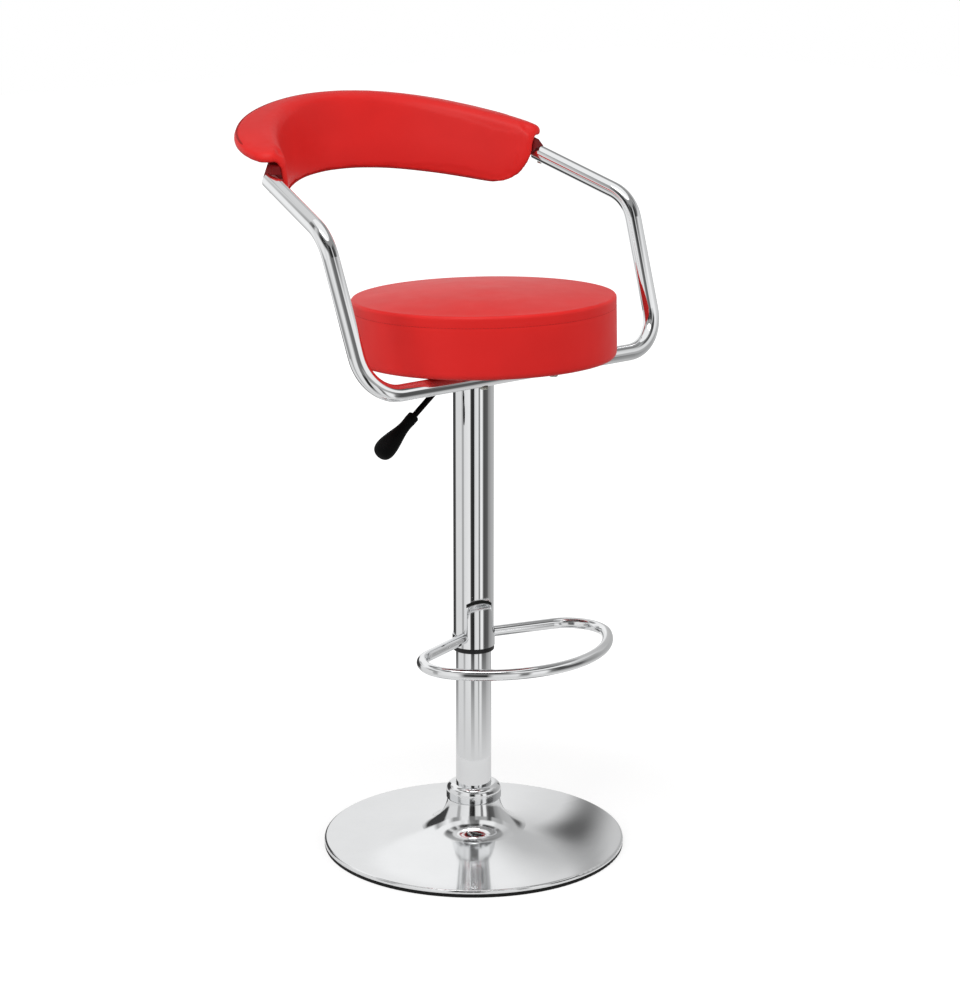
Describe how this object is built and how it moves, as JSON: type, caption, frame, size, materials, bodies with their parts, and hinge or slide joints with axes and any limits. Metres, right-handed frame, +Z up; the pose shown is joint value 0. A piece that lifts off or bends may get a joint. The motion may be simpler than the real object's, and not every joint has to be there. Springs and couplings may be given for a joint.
{
  "type": "adjustable swivel stool",
  "caption": "Height-adjustable swivel stool with a round padded seat, wrap-round arms and back on a bent tube, a footrest loop and a trumpet base.",
  "frame": {"origin": "on the floor, on the axis of the column and of the base ring", "axes": "+Z up along the column, -Y the way the sitter faces, +X to the left of the sitter"},
  "size_m": [0.5394, 0.5197, 1],
  "materials": {
    "chrome": "bright chromium plate",
    "black_rubber": "moulded",
    "black_steel": "powder coat",
    "zinc_steel": "zinc plate",
    "polished_steel": "ground and polished",
    "dark_steel": "black nickel plate",
    "black_plastic": "moulded",
    "plywood": "sanded birch ply",
    "red_seat_cover": "coated fabric over foam",
    "red_back_cover": "coated fabric over foam",
    "red_plastic": "moulded"
  },
  "bodies": {
    "base": {"base_pan": "chrome", "base_gasket": "black_rubber", "ballast_plate": "black_steel", "base_hub": "black_steel", "hub_screws": "zinc_steel", "neck_ring": "chrome", "lower_tube": "chrome", "tube_end_plate": "zinc_steel", "bearing_lower_race": "zinc_steel", "cylinder_guide_bush": "black_plastic"},
    "spindle": {"bearing_balls": "zinc_steel", "bearing_cage": "black_plastic", "bearing_upper_race": "zinc_steel", "rubber_buffer": "black_rubber", "piston_rod": "polished_steel", "rod_clip": "zinc_steel", "clip_washer": "zinc_steel", "gas_piston": "black_plastic"},
    "carriage": {"gas_cylinder": "black_steel", "cylinder_end_plug": "black_plastic", "valve_body": "zinc_steel", "upper_tube": "chrome", "cover_flange": "black_plastic", "collar_bush": "black_plastic", "collar": "chrome", "collar_trim": "black_rubber", "collar_screws": "zinc_steel", "footrest_loop": "chrome", "mechanism_plate": "black_steel", "mechanism_box": "black_steel", "taper_socket": "black_steel", "mechanism_bolts": "zinc_steel", "lever_bracket": "black_steel", "lever_pivot_pin": "zinc_steel", "seat_board": "plywood", "tee_nuts": "zinc_steel", "seat_cushion": "red_seat_cover", "arm_frame": "chrome", "crossbar_bolts": "zinc_steel", "backrest": "red_back_cover", "back_sockets": "red_plastic", "socket_screws": "zinc_steel"},
    "lever": {"lever_rod": "dark_steel", "lever_handle": "black_plastic"},
    "release_pin": {"valve_pin": "zinc_steel"}
  },
  "joints": [
    {"name": "swivel", "type": "hinge", "parent": "base", "child": "spindle", "pos_m": [0, 0, 0], "axis": [0, 0, 1], "continuous": true},
    {"name": "height", "type": "slide", "parent": "spindle", "child": "carriage", "axis": [0, 0, 1], "range_m": [-0.14, 0.07]},
    {"name": "lever_lift", "type": "hinge", "parent": "carriage", "child": "lever", "pos_m": [-0.02, 0, 0.6643], "axis": [0, 1, 0], "range_deg": [0, 10], "stiffness_Nm_per_rad": 8},
    {"name": "pin_press", "type": "slide", "parent": "carriage", "child": "release_pin", "axis": [0, 0, 1], "range_m": [-0.0036, 0]}
  ],
  "couplings": [
    {"joint": "pin_press", "follows": "lever_lift", "m_per_rad": -0.02}
  ]
}
